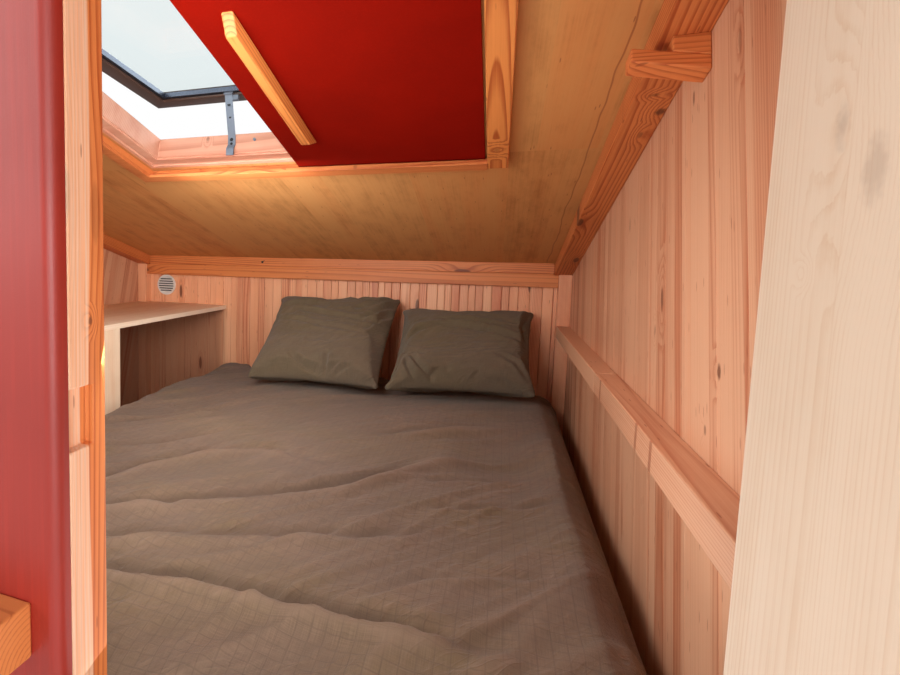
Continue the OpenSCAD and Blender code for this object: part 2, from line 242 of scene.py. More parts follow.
class Graph:
    """The nodes of a new material, or of a new world."""

    def __init__(self, name, kind="materials"):
        self.owner = getattr(bpy.data, kind).new(name)
        self.owner.use_nodes = True
        self.tree = self.owner.node_tree
        self.tree.nodes.clear()

    def add(self, kind, settings=None, inputs=None, out=0):
        """Adds a node with its settings and its sockets' values or links, and gives an output."""
        node = self.tree.nodes.new(kind)
        for name, value in (settings or {}).items():
            if name == "stops":
                ramp = node.color_ramp
                while len(ramp.elements) < len(value):
                    ramp.elements.new(1.0)
                for element, (place, level) in zip(ramp.elements, value):
                    element.position = place
                    element.color = (level, level, level, 1.0)
            else:
                setattr(node, name, value)
        for key, value in (inputs or {}).items():
            if isinstance(value, Wire):
                self.tree.links.new(value.socket, node.inputs[key])
            else:
                node.inputs[key].default_value = value
        return Wire(self, node.outputs[out]) if node.outputs else None

    def vector(self, x, y, z=0.0):
        return self.add("ShaderNodeCombineXYZ", None, {0: x, 1: y, 2: z})

    def noise(self, vector, scale=1.0, detail=2.0, roughness=0.5):
        inputs = {"Vector": vector, "Scale": scale, "Detail": detail, "Roughness": roughness}
        return self.add("ShaderNodeTexNoise", None, inputs)

    def random(self, *values):
        """A number from 0 to 1 that changes with these values."""
        return self.add("ShaderNodeTexWhiteNoise", None, {"Vector": self.vector(*values)})

    def mix(self, factor, one, other, blend="MIX"):
        settings = {"data_type": "RGBA", "blend_type": blend}
        return self.add("ShaderNodeMix", settings, {0: factor, 6: one, 7: other}, out=2)

    def curve(self, value, *stops):
        return self.add("ShaderNodeValToRGB", {"stops": stops}, {0: value})

    def spots(self, vector, size, share):
        """Where scattered spots lie, as the distance from the nearest one and its mask."""
        settings = {"voronoi_dimensions": "2D", "feature": "F1"}
        inputs = {"Vector": vector, "Scale": 1.0}
        cell = self.add("ShaderNodeTexVoronoi", settings, inputs, out="Distance")
        look = cell.socket.node
        chosen = Wire(self, look.outputs["Color"]).dot((1, 0, 0)).step(1 - share - 0.01, 1 - share)
        return cell, cell.step(size * 0.7, size * 1.15, 1.0, 0.0) * chosen, chosen

    def finish(self, inputs, height=None, relief=0.001, strength=1.0):
        """Ends the material in a Principled shader, with a bump where a height is given."""
        if height is not None:
            bump = {"Height": height, "Distance": relief, "Strength": strength}
            inputs = {**inputs, "Normal": self.add("ShaderNodeBump", None, bump)}
        surface = self.add("ShaderNodeBsdfPrincipled", None, inputs)
        self.add("ShaderNodeOutputMaterial", None, {"Surface": surface})
        return self.owner


MATERIALS = {}

# Wood kinds: early and late wood, rings in a metre, their contrast, how far off the boards' middles
# the pith may lie, the share of knots and flecks, roughness, blotches, and how much boards differ
WOODS = {
    "framing": ("douglas", "douglas_late", 210, 0.58, 0.14, 0.22, 0.10, 0.55, 0.3, 0.5),
    "figured": ("figured", "figured_late", 220, 0.75, 0.03, 0.0, 0.05, 0.55, 0.2, 0.2),
    "side_lining": ("salmon", "salmon_late", 240, 0.36, 0.30, 0.0, 0.22, 0.50, 0.2, 0.8),
    "lining_boards": ("strip", "strip_late", 230, 0.50, 0.30, 0.12, 0.10, 0.50, 0.2, 0.6),
    "curb_lining": ("blush", "blush_late", 200, 0.40, 0.30, 0.0, 0.0, 0.50, 0.2, 0.4),
    "ceiling_spruce": ("ceiling", "ceiling_late", 90, 0.10, 0.22, 0.0, 0.10, 0.60, 1.3, 0.3),
    "pale_spruce": ("spruce", "spruce_late", 260, 0.26, 0.40, 0.0, 0.0, 0.62, 0.5, 0.4),
    "structural_wood": ("sawn", "sawn_late", 220, 0.40, 0.14, 0.25, 0.0, 0.75, 0.3, 0.5),
    "outside_cladding": ("larch", "larch_late", 240, 0.50, 0.14, 0.25, 0.05, 0.65, 0.3, 0.8),
}

# Single knots by piece: places, half length along the fibres, half width, and how dark each is
MARKS = {
    "right_jamb": (
        ((0.878, -1.009, 1.006), 0.019, 0.010, 0.30), ((0.878, -1.044, 0.978), 0.024, 0.014, 0.26),
        ((0.878, -0.997, 1.019), 0.003, 0.003, 0.7), ((0.878, -1.026, 1.017), 0.002, 0.002, 0.5),
        ((0.878, -0.982, 0.924), 0.004, 0.004, 0.8), ((0.878, -1.026, 0.921), 0.003, 0.002, 0.5),
    ),
    "right_lining": (
        ((0.965, -0.316, 0.868), 0.024, 0.008, 0.9), ((0.965, -0.596, 0.798), 0.012, 0.007, 0.95),
        ((0.965, -0.287, 0.812), 0.010, 0.004, 0.7), ((0.965, -0.566, 0.717), 0.008, 0.005, 0.7),
        ((0.965, -0.403, 1.170), 0.014, 0.005, 0.8), ((0.965, -0.569, 1.195), 0.020, 0.005, 0.5),
        ((0.965, -0.018, 1.006), 0.020, 0.005, 0.6),
    ),
    "rafters": (
        ((0.956, -0.249, 1.187), 0.014, 0.009, 1.0), ((0.935, -0.306, 1.203), 0.006, 0.008, 0.6),
        ((0.944, -0.166, 1.166), 0.016, 0.005, 0.6), ((-0.92, 0.2, 1.07), 0.012, 0.009, 0.9),
    ),
    "stop_batten": (((0.693, -0.078, 1.166), 0.013, 0.009, 0.5),),
    "window_curb": (((-0.040, -0.045, 1.238), 0.005, 0.008, 0.6),),
    "latch_post": (((0.313, -0.944, 0.857), 0.006, 0.004, 0.9),),
}


# Where scattered knots lie: their distance along the fibres and across them, and their size
KNOT_PITCH, KNOT_ROW, KNOT_SIZE = 0.40, 0.10, 0.085
FLECK_PITCH, FLECK_ROW, FLECK_SIZE = 0.085, 0.012, 0.09

# How dark the wood is from one ring to the next
RING_PROFILE = ((0.0, 0.05), (0.45, 0.12), (0.9, 1.0), (1.0, 0.0))

# The seam between two ceiling panels, and the edge of the post's pale band
CEILING_SEAM_X = 0.893
PALE_BAND_Y = -0.935


def single_knots(graph, place, ways, marks, knot, halo):
    """Adds a piece's single knots to the scattered ones, and to the rings' bend round them."""
    ragged = (graph.noise(place, 160.0, 1.0) - 0.5) * 0.5
    for spot, half, wide, dark in marks:
        along, beside, below = (place.dot(way) - Vector(spot).dot(way) for way in ways)
        along = along / half
        round_it = (beside * beside + below * below) / (wide * wide)
        away = (along * along + round_it).math("SQRT") + ragged
        knot = knot.math("MAXIMUM", away.step(0.45, 1.1, dark, 0.0))
        halo = halo.math("MAXIMUM", away.step(0.0, 4.5, 1.0, 0.0))
    return knot, halo


def local_tones(graph, kind, marks, place, along, fibre, base):
    """The tones of one spot: painted shade under the shelf, the post's pale band, the ceiling's
    seam.
    """
    # Painted shade: the linings are darkened below the shelf and left of its free edge
    if kind in ("lining_boards", "side_lining"):
        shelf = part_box("shelf_top")
        below = place.dot(Z_AXIS).step(shelf[0].z - 0.004, shelf[0].z, 1.0, 0.0)
        behind = place.dot(X_AXIS).step(shelf[1].x - 0.05, shelf[1].x + 0.02, 1.0, 0.0)
        base = graph.mix(below * behind * 0.6, base, shade("under_shelf_shade"))
    if marks == "latch_post":
        wander = graph.noise(graph.vector(along * 2.2, 0.0), 1.0, 1.0) * 0.02
        edge = place.dot(Y_AXIS) + wander
        pale = graph.mix(fibre.step(0.2, 0.8), shade("spruce"), shade("strip"))
        band = edge.step(PALE_BAND_Y - 0.0015, PALE_BAND_Y + 0.0015, 0.6, 0.0)
        base = graph.mix(band, base, pale)
    if kind == "ceiling_spruce":
        wander = graph.noise(graph.vector(place.dot(Y_AXIS) * 4, 0.0), 1.0, 2.0) * 0.03
        gap = abs(place.dot(X_AXIS) + wander - CEILING_SEAM_X)
        base = graph.mix(gap.step(0.0005, 0.0022, 1.0, 0.0) * 0.6, base, shade("fleck"))
    return base


def wood(kind, grain, stave=None, marks=None):
    """Wood of a kind whose fibres run along a grain, glued from staves where a width is given."""
    name = f"{kind}_{grain}" + ("_staves" if stave else "") + (f"_{marks}" if marks else "")
    if name in MATERIALS:
        return MATERIALS[name]
    early, late, rings, contrast, spread, knots, flecks, rough, blotch, variety = WOODS[kind]
    fibres, across = GRAINS[grain]
    ways = (fibres, across, fibres.cross(across))
    graph = Graph(name)
    place = graph.add("ShaderNodeTexCoord", out="Object")
    seat = graph.add("ShaderNodeAttribute", {"attribute_name": "seat"}, out="Vector")
    chance = seat.dot(X_AXIS)
    along = place.dot(fibres)
    side = place.dot(across) - seat.dot(Y_AXIS)
    deep = place.dot(ways[2]) - seat.dot(Z_AXIS)
    if stave:
        index = (side / stave).math("FLOOR")
        side = side - (index + 0.5) * stave
        chance = graph.random(index, chance)
    second, third, fourth = (graph.random(chance * k, k) for k in (7.3, 3.1, 5.7))

    # Knots, and the rings that bend round them
    drift = graph.noise(graph.vector(along * 0.7, side * 6, chance * 40), 1.0, 1.0)
    scatter = graph.vector(along / KNOT_PITCH + second * 9, side / KNOT_ROW + chance * 31)
    cell, knot, near = graph.spots(scatter, KNOT_SIZE, knots)
    halo = cell.step(0.0, 0.42, 1.0, 0.0) * near
    if marks in MARKS:
        knot, halo = single_knots(graph, place, ways, MARKS[marks], knot, halo)
    pith_side = side - (second - 0.5) * spread
    pith_deep = deep + 0.02 + third * 0.09
    radius = (pith_side * pith_side + pith_deep * pith_deep).math("SQRT")
    radius = radius + drift * 0.035 + halo * 0.014
    turn = (radius * rings * (0.7 + fourth * 0.6)).math("FRACT")
    late_wood = graph.curve(turn, *RING_PROFILE)

    # Fibres, streaks and blotches make the wood lighter or darker
    fibre = graph.noise(graph.vector(along * 5, side * 420, deep * 420), 1.0, 2.0)
    broad = graph.vector(along * 1.6, side * 26 + chance * 17, deep * 12)
    broad = graph.noise(broad, 1.0, 3.0) - 0.5
    mottle = graph.noise(graph.vector(along * 9, side * 22, chance * 60), 1.0, 4.0, 0.65) - 0.5
    level = late_wood * contrast + (fibre - 0.5) * 0.35 + broad * 0.7
    level = level + (third - 0.5) * variety + 0.12 + mottle * blotch
    base = graph.mix(level.step(0.0, 1.0), shade(early), shade(late))
    blush = (second - 0.5) * 0.5 + broad * 0.5
    blush = blush.step(0.0, 0.5, 0.0, 0.35)
    base = graph.mix(blush, base, shade("strip_late"), "SOFT_LIGHT")
    base = graph.mix(knot * 0.85, base, shade("knot"))
    rim = cell.step(0.07, 0.12, 0.0, 1.0) * cell.step(0.1, 0.2, 1.0, 0.0) * near
    base = graph.mix(rim * 0.35, base, shade(late))
    if stave and kind != "ceiling_spruce":
        joint = abs(side).step(stave / 2 - 0.0012, stave / 2 - 0.0003)
        base = graph.mix(joint * second * 0.4, base, shade(late))
    base = local_tones(graph, kind, marks, place, along, fibre, base)
    height = fibre * 0.5 if marks else fibre * 0.4 + late_wood * 0.2 - knot * 0.4
    if flecks:
        scatter = graph.vector(along / FLECK_PITCH + third * 5, side / FLECK_ROW + chance * 13)
        fleck = graph.spots(scatter, FLECK_SIZE, flecks)[1]
        base = graph.mix(fleck * 0.6, base, shade("fleck"))
        height = height - fleck * 0.4
    inputs = {"Base Color": base, "Roughness": (fibre - 0.5) * 0.2 + rough}
    MATERIALS[name] = graph.finish(inputs, height, 0.0005, 0.5)
    return MATERIALS[name]


def paint(name, tone, rough=0.5, brush=1.0, metal=0.0, shine=0.5):
    """Brushed paint or a coating: faint strokes, mottling and a little grain showing through."""
    if name in MATERIALS:
        return MATERIALS[name]
    graph = Graph(name)
    place = graph.add("ShaderNodeTexCoord", out="Object")
    x, y, z = (place.dot(axis) for axis in (X_AXIS, Y_AXIS, Z_AXIS))
    strokes = graph.noise(graph.vector(x * 210, y * 210, z * 6), 1.0, 3.0)
    clouds = graph.noise(place, 5.0, 3.0)
    specks = graph.noise(place, 900.0, 1.0)
    base = graph.mix(clouds.step(0.3, 0.7, 0.0, 0.5), shade(tone), toned(tone, 0.72))
    base = graph.mix(strokes.step(0.45, 0.75, 0.0, 0.22 * brush), base, toned(tone, 1.5))
    inputs = {
        "Base Color": base,
        "Roughness": (clouds - 0.5) * 0.25 + (specks - 0.5) * 0.2 + rough,
        "Metallic": metal,
        "Specular IOR Level": shine,
    }
    MATERIALS[name] = graph.finish(inputs, strokes * brush + specks * 0.4, 0.0005, 0.5)
    return MATERIALS[name]


def linen(name, tone, check=None):
    """Washed linen: slubby threads both ways, worn folds and, where asked, a fine check, with
    painted highlight on the duvet's fold crests and painted shade in its fold valleys.
    """
    if name in MATERIALS:
        return MATERIALS[name]
    graph = Graph(name)
    flat = graph.add("ShaderNodeUVMap", {"uv_map": "cloth"})
    u, v = flat.dot(X_AXIS), flat.dot(Y_AXIS)
    slub_u = graph.noise(graph.vector(u * 900, v * 25), 1.0, 2.0)
    slub_v = graph.noise(graph.vector(u * 25, v * 900, 7.0), 1.0, 2.0)
    threads = (u * 5200).math("SINE") * (v * 5200).math("SINE")
    worn = graph.noise(graph.vector(u * 5, v * 9), 1.0, 4.0)
    tint = graph.noise(graph.vector(u * 2.6, v * 3.4, 11.0), 1.0, 2.0)
    bend = graph.noise(graph.vector(u * 5, v * 5, 3.0), 1.0, 2.0) * 1.8
    crumple = 0.0
    for scale, seed, share in ((11, 1.0, 1.0), (23, 6.0, 0.6), (44, 3.0, 0.6)):
        spot = graph.vector((u + v) * scale * 0.22 + bend, (v - u) * scale + bend, seed)
        level = graph.noise(spot, 1.0, 1.0)
        line = abs(level - 0.5).step(0.0, 0.05, 1.0, 0.0) * worn.step(0.36, 0.6)
        crumple = line * share + crumple
    dark, pale, olive = toned(tone, 0.62), toned(tone, 1.4), toned(tone, 0.98, 1.0, 0.72)
    base = graph.mix(((slub_u + slub_v) * 0.5).step(0.32, 0.68), dark, pale)
    faded = graph.mix(tint.step(0.4, 0.62), shade(tone), olive)
    base = graph.mix(worn.step(0.35, 0.7, 0.3, 0.75), base, faded)
    base = graph.mix(crumple * 0.34, base, pale)
    height = threads * 0.2 + slub_u * 0.5 + slub_v * 0.5 + crumple * 1.8
    if check:
        wander = (worn - 0.5) * 0.004
        lengthwise, crosswise = (
            abs(((way + wander) / check).math("FRACT") - 0.5).step(0.44, 0.475) for way in (u, v)
        )
        lines = lengthwise.math("MAXIMUM", crosswise)
        base = graph.mix(lines * 0.5, base, dark)
        height = height - lines * 0.3
        # Painted highlight on fold crests and painted shade in fold valleys, read from each fold's
        # rise
        fold = graph.add("ShaderNodeAttribute", {"attribute_name": "fold"}, out="Fac")
        base = graph.mix(fold.step(0.25, 1.0, 0.0, 0.55), base, pale)
        base = graph.mix(fold.step(-1.0, -0.1, 0.6, 0.0), base, dark)
    inputs = {"Base Color": base, "Roughness": 0.95, "Sheen Weight": 0.1, "Sheen Roughness": 0.5}
    MATERIALS[name] = graph.finish(inputs, height, 0.0009, 0.9)
    return MATERIALS[name]


def clear_glass():
    """A clean pane: it lets the light through and mirrors a little."""
    graph = Graph("clear_glass")
    facing = graph.add("ShaderNodeLayerWeight", None, {"Blend": 0.3}, out="Facing")
    fresnel = (facing * facing * facing) * 0.3 + 0.03
    through = graph.add("ShaderNodeBsdfTransparent", None, {"Color": (0.93, 0.97, 0.97, 1)})
    mirror = graph.add("ShaderNodeBsdfGlossy", None, {"Roughness": 0.02})
    mixed = graph.add("ShaderNodeMixShader", None, {0: fresnel, 1: through, 2: mirror})
    graph.add("ShaderNodeOutputMaterial", None, {"Surface": mixed})
    return graph.owner


def white_plastic():
    """White plastic with fine specks."""
    graph = Graph("white_plastic")
    place = graph.add("ShaderNodeTexCoord", out="Object")
    specks = graph.noise(place, 700.0, 2.0)
    base = graph.mix(specks, (0.75, 0.73, 0.68, 1), (0.85, 0.84, 0.8, 1))
    return graph.finish({"Base Color": base, "Roughness": specks * 0.2 + 0.35}, specks, 0.0002, 0.3)


def shells(bm):
    """The separate closed shapes in a bmesh, each as a list of faces."""
    left = set(bm.faces)
    while left:
        found = [left.pop()]
        for face in found:
            for vert in face.verts:
                for other in vert.link_faces:
                    if other in left:
                        left.discard(other)
                        found.append(other)
        yield found


def seat_boards(bm, grain):
    """Gives each shell its own chance and the middle of its cross-section, which the wood reads."""
    fibres, across = GRAINS[grain]
    deep = fibres.cross(across)
    layer = bm.faces.layers.float_vector.get("seat") or bm.faces.layers.float_vector.new("seat")
    bm.faces.index_update()
    for shell in sorted(shells(bm), key=lambda faces: min(f.index for f in faces)):
        points = [v.co for f in shell for v in f.verts]
        spans = [[point.dot(way) for point in points] for way in (across, deep)]
        middle = [(min(span) + max(span)) / 2 for span in spans]
        seat = Vector((RNG.random(), *middle))
        for face in shell:
            face[layer] = seat


def rounded(bm, geometry, edge):
    """Rounds the edges in some geometry, in two steps."""
    return bmesh.ops.bevel(
        bm, geom=geometry, offset=edge, segments=2, profile=0.5, affect="EDGES", material=-1
    )


def block(bm, low, high, edge=0.0, matrix=None):
    """A block between two corners, with rounded edges, turned by a matrix."""
    middle = [(a + b) / 2 for a, b in zip(low, high)]
    spread = [b - a for a, b in zip(low, high)]
    place = Matrix.Translation(middle) @ Matrix.Diagonal((*spread, 1))
    verts = bmesh.ops.create_cube(bm, size=1, matrix=place)["verts"]
    if edge:
        edges = list({e for v in verts for e in v.link_edges})
        made = rounded(bm, verts + edges, edge)
        verts = list({v for v in made["verts"]} | {v for v in verts if v.is_valid})
    if matrix:
        bmesh.ops.transform(bm, matrix=matrix, verts=verts)
    return verts


def ring(bm, low, high, inset, wide, depths, matrix):
    """A flat rectangular ring, set in from the edges of a rectangle, between two depths."""
    corners = []
    for away in (inset, inset + wide):
        x0, x1, y0, y1 = low.x + away, high.x - away, low.y + away, high.y - away
        corners.append([(x0, y0), (x1, y0), (x1, y1), (x0, y1)])
    verts = [
        [bm.verts.new(matrix @ Vector((*corner, depth))) for corner in loop]
        for loop in corners
        for depth in depths
    ]
    for i in range(4):
        j = (i + 1) % 4
        for a, b in ((0, 1), (1, 3), (3, 2), (2, 0)):
            bm.faces.new((verts[a][i], verts[a][j], verts[b][j], verts[b][i]))
    bmesh.ops.recalc_face_normals(bm, faces=bm.faces)


def rod(bm, radius, depth, matrix, sides=16):
    """A round bar along its own Z."""
    bmesh.ops.create_cone(
        bm, cap_ends=True, segments=sides, radius1=radius, radius2=radius, depth=depth,
        matrix=matrix,
    )


def trim(bm, point, outwards):
    """Cuts away all that lies beyond a plane and closes the cut."""
    geometry = bm.verts[:] + bm.edges[:] + bm.faces[:]
    bmesh.ops.bisect_plane(bm, geom=geometry, plane_co=point, plane_no=outwards, clear_outer=True)
    bmesh.ops.holes_fill(bm, edges=[e for e in bm.edges if e.is_boundary], sides=0)


def piece(name, bm, material, slot, *nodes, body="bay"):
    """Makes a mesh piece that rides on a body and stands for the nodes it replaces."""
    mesh = bpy.data.meshes.new(name)
    bm.to_mesh(mesh)
    bm.free()
    mesh.materials.append(material)
    mesh.shade_smooth()
    mesh.set_sharp_from_angle(angle=math.radians(22))
    made = bpy.data.objects.new(name, mesh)
    bpy.context.scene.collection.objects.link(made)
    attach(made, body)
    if nodes:
        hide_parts(*nodes)
    return made


def node_copy(node):
    """A merged copy of a CAD node's mesh."""
    bm = bmesh.new()
    bm.from_mesh(NODES[node].data)
    bmesh.ops.remove_doubles(bm, verts=bm.verts, dist=2e-5)
    bmesh.ops.dissolve_limit(bm, angle_limit=0.01, verts=bm.verts, edges=bm.edges)
    return bm


def soften(bm, edge, angle=25):
    """Rounds the sharp edges."""
    sharp = [e for e in bm.edges if e.is_manifold and e.calc_face_angle() > math.radians(angle)]
    rounded(bm, sharp, edge)


def timber(node, slot, grain, edge=None, stave=None, body="bay", look=None):
    """A planed timber in the place of its CAD node: edges rounded, grain along it.

    Its slot's wood is used, unless look names another kind.
    """
    bm = node_copy(node)
    edge = sizes().edge if edge is None else edge
    if edge:
        soften(bm, edge)
    seat_boards(bm, grain)
    material = wood(look or slot, grain, stave, node if node in MARKS else None)
    return piece(node + "_planed", bm, material, slot, node, body=body)


def painted(node, edge=0.003, body="bay", finish=("red_paint", "red_wall_with_sheen", 0.45)):
    """A painted board in the place of its CAD node."""
    bm = node_copy(node)
    soften(bm, edge)
    return piece(node + "_painted", bm, paint(*finish), "red_paint", node, body=body)


class ALCOVE_OT_floor(bpy.types.Operator):
    """Builds the floor deck and the bearers under it"""

    bl_idname = "alcove.floor"
    bl_label = "Floor"

    def execute(self, context):
        timber("floor_bearers", "structural_wood", "long", 0.003)
        timber("floor_deck", "structural_wood", "flat", 0.001, stave=0.18)
        return {"FINISHED"}


def clad(node, outwards, along, ends, depth):
    """Upright boards and cover battens on a core, in the place of an outer wall's node.

    outwards is the way the wall faces, along the way it runs, ends its two ends along it,
    and depth the outermost and innermost places of the wall along outwards.
    """
    outer, inner = depth
    first, last = ends
    turn = Matrix((along, outwards, Z_AXIS)).transposed().to_4x4()
    core, boards = bmesh.new(), bmesh.new()
    face = outer - BATTEN_THICK
    back = face - BOARD_THICK

    def upright(bm, start, stop, low, high, edge):
        block(bm, (start, low, FLOOR_Z), (stop, high, WALL_TOP_Z), edge, turn)

    cap = CORNER_BOARD if node == "head_wall" else 0.0
    upright(core, first + cap, last - cap, inner, back, 0)
    if cap:
        for end in (first, last - cap):
            upright(boards, end, end + cap, inner, back - 0.0005, 0.001)
    count = max(1, round((last - first) / sizes().cladding))
    width = (last - first) / count
    half = sizes().batten / 2
    for i in range(count):
        start = first + i * width
        upright(boards, start + BOARD_GAP / 2, start + width - BOARD_GAP / 2, back, face, 0.001)
        middle = max(start, first + half)
        upright(boards, middle - half, middle + half, face, outer, 0.0015)
    upright(boards, last - sizes().batten, last, face, outer, 0.0015)
    grain = "up" if abs(outwards.y) > 0.5 else "side"
    for bm, part, slot, nodes in (
        (core, "core", "structural_wood", [node]),
        (boards, "boards", "outside_cladding", []),
    ):
        bmesh.ops.recalc_face_normals(bm, faces=bm.faces)
        trim(bm, CEILING_START, OUT_OF_SLOPE)
        seat_boards(bm, grain)
        piece(f"{node}_{part}", bm, wood(slot, grain), slot, *nodes)


class ALCOVE_OT_outer_walls(bpy.types.Operator):
    """Clads the three outer walls with upright boards and battens"""

    bl_idname = "alcove.outer_walls"
    bl_label = "Outer walls"

    def execute(self, context):
        low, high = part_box("head_wall")
        clad("head_wall", Y_AXIS, X_AXIS, (low.x, high.x), (high.y, low.y))
        for node, way in (("left_wall", -1), ("right_wall", 1)):
            low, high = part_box(node)
            outer, inner = max(abs(low.x), abs(high.x)), min(abs(low.x), abs(high.x))
            clad(node, X_AXIS * way, Y_AXIS, (low.y, high.y), (outer, inner))
        return {"FINISHED"}


class ALCOVE_OT_linings(bpy.types.Operator):
    """Lines the room: narrow grooved strips at the head, leaning boards at the sides"""

    bl_idname = "alcove.linings"
    bl_label = "Board linings"

    def execute(self, context):
        settings = sizes()
        strips = bmesh.new()
        x = LEFT
        while x < RIGHT - 1e-4:
            width = RNG.uniform(settings.strip_low, settings.strip_high)
            stop = RIGHT if RIGHT - x - width < settings.strip_low else x + width
            low, high = (x + 0.0004, HEAD_Y, FLOOR_Z), (stop - 0.0004, HEAD_Y + 0.016, 1.0)
            block(strips, low, high, settings.groove)
            x = stop
        block(strips, (LEFT, HEAD_Y + 0.012, FLOOR_Z), (RIGHT, HEAD_HIGH.y, 1.0))
        trim(strips, CEILING_START, OUT_OF_SLOPE)
        seat_boards(strips, "up")
        look = wood("lining_boards", "up")
        piece("head_strips", strips, look, "lining_boards", "head_lining")
        turn = Matrix((X_AXIS, -UP_SLOPE, OUT_OF_SLOPE)).transposed().to_4x4()
        for node in ("left_lining", "right_lining"):
            low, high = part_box(node)
            boards = bmesh.new()
            near = -UP_SLOPE.dot(Vector((0, low.y, 2.0)))
            far = -UP_SLOPE.dot(Vector((0, high.y, 0.0)))
            while near < far:
                width = settings.side_board * RNG.uniform(0.85, 1.15)
                corners = (low.x, near + 0.0001, 0), (high.x, near + width - 0.0001, 2.4)
                block(boards, *corners, 0.0007, turn)
                near += width
            for point, way in (
                (low, -Y_AXIS), (high, Y_AXIS), (low, -Z_AXIS), (CEILING_START, OUT_OF_SLOPE)
            ):
                trim(boards, point, way)
            seat_boards(boards, "leaning")
            look = wood("side_lining", "leaning", 0.036, node)
            piece(node + "_boards", boards, look, "side_lining", node)
        return {"FINISHED"}


class ALCOVE_OT_front_wall(bpy.types.Operator):
    """Finishes the painted front wall, the post, the jamb and the ledger"""

    bl_idname = "alcove.front_wall"
    bl_label = "Front wall"

    def execute(self, context):
        # The front wall's red carries a painted sheen in its colour
        painted("front_panel", 0.0015)
        for node in ("front_wall_right", "front_header", "front_sill"):
            painted(node)
        timber("front_frame", "structural_wood", "up", 0)
        timber("latch_post", "framing", "side", 0.0025)
        timber("right_jamb", "pale_spruce", "side", 0.003, stave=0.1)
        timber("front_ledger", "framing", "wide", 0.003)
        return {"FINISHED"}


class ALCOVE_OT_timbers(bpy.types.Operator):
    """Planes the posts, rafters, plates and rails inside the room"""

    bl_idname = "alcove.timbers"
    bl_label = "Timbers"

    def execute(self, context):
        for node in ("head_plate_upper", "head_plate_lower", "rafters", "corbel", "rafter_packer"):
            timber(node, "framing", "slope" if node == "rafters" else "wide")
        for node in ("wall_rail_head", "wall_rail_front"):
            timber(node, "framing", "long", look="side_lining")
        timber("corner_posts", "pale_spruce", "side", look="lining_boards")
        return {"FINISHED"}


class ALCOVE_OT_ceiling(bpy.types.Operator):
    """Finishes the ceiling panels and the roof sheet over them"""

    bl_idname = "alcove.ceiling"
    bl_label = "Ceiling and roof"

    def execute(self, context):
        for node in ("ceiling_low", "ceiling_left", "ceiling_right", "ceiling_high"):
            timber(node, "ceiling_spruce", "slope", 0, stave=0.12)
        metal = paint("roof_metal", "roof", 0.42, 0.1, 0.6)
        piece("roof_sheet", node_copy("roof_skin"), metal, "roof_sheet", "roof_skin")
        piece("edge_flashing", self.make_flashing(), metal, "roof_sheet")
        return {"FINISHED"}

    def make_flashing(self):
        """A strip along each side of the roof sheet, and two rings round the window's curb."""
        flashing = bmesh.new()
        low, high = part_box("roof_skin")
        start = Vector(CEILING_START)
        climb = [(vert.co - start).dot(UP_SLOPE) for vert in NODES["roof_skin"].data.vertices]
        thick, drop, rise = 0.0012, 0.035, 0.003
        for x in (low.x - thick, high.x):
            corners = (x, -max(climb), ROOF_TOP - drop), (x + thick, -min(climb), ROOF_TOP + rise)
            block(flashing, *corners, 0, ON_SLOPE)
        foot = ROOF_TOP + 0.0008
        ring(flashing, *CURB_CORNERS, -0.0016, 0.0013, (foot, 0.064), ON_SLOPE)
        ring(flashing, *CURB_CORNERS, -0.042, 0.040, (foot, foot + 0.0054), ON_SLOPE)
        return flashing


class ALCOVE_OT_roof_window(bpy.types.Operator):
    """Finishes the roof window: lining, sash, pane and stay"""

    bl_idname = "alcove.roof_window"
    bl_label = "Roof window"

    def execute(self, context):
        timber("window_curb", "side_lining", "slope_wide", 0.0015, look="curb_lining")
        bm = node_copy("sash_frame")
        soften(bm, 0.002)
        coating = paint("sash_coating", "sash", 0.35, 0.1)
        piece("sash_bars", bm, coating, "sash_brown", "sash_frame")
        for name, tone, metal, inset, wide, depths in (
            ("sash_rim", "rim", 0.8, 0.0442, 0.0106, (0.0072, 0.0192)),
            ("sash_gasket", "gasket", 0.0, 0.0430, 0.0030, (0.0060, 0.0090)),
        ):
            bm = bmesh.new()
            ring(bm, *SASH_CORNERS, inset, wide, depths, OPENED)
            piece(name, bm, paint(name, tone, 0.3, 0.1, metal), "sash_brown")
        NODES["sash_glass"].data.materials.clear()
        NODES["sash_glass"].data.materials.append(clear_glass())
        self.make_stay()
        return {"FINISHED"}

    def make_stay(self):
        """The bent stay, with the holes in its strip and the clips at its two ends."""
        zinc = paint("galvanised", "zinc", 0.42, 0.2, 0.5)
        bm = node_copy("stay_bar")
        soften(bm, 0.0008)
        piece("stay_strip", bm, zinc, "galvanised", "stay_bar")
        # Dark discs for the strip's holes: painted shade in place of open holes
        holes = bmesh.new()
        lean, bend = math.atan2(27.2, 97.2), 0.058
        for height, radius in ((0.138, 0.0048), (0.106, 0.0034), (0.0486, 0.0048), (0.037, 0.0036)):
            x = 0.039 - 0.018 * height / 0.171
            up = 1.0781 + max(0.0, height - bend) * math.tan(lean)
            turn = Matrix.Rotation(math.pi / 2 - (lean if height > bend else 0), 4, "X")
            spot = ON_SLOPE @ Matrix.Translation((x, -up, height)) @ turn
            rod(holes, radius, 0.0012, spot)
        piece("stay_holes", holes, paint("dark_holes", "gasket", 0.6, 0.1), "galvanised")
        clips = bmesh.new()
        block(clips, (0.008, -1.108, 0.163), (0.034, -1.1, 0.174), 0.001, ON_SLOPE)
        block(clips, (0.036, -1.108, 0.146), (0.052, -1.098, 0.160), 0.001, ON_SLOPE)
        upright = Matrix.Rotation(math.pi / 2, 4, "X")
        rod(clips, 0.004, 0.004, ON_SLOPE @ Matrix.Translation((0.1, -1.077, 0.046)) @ upright)
        piece("stay_clips", clips, zinc, "galvanised")


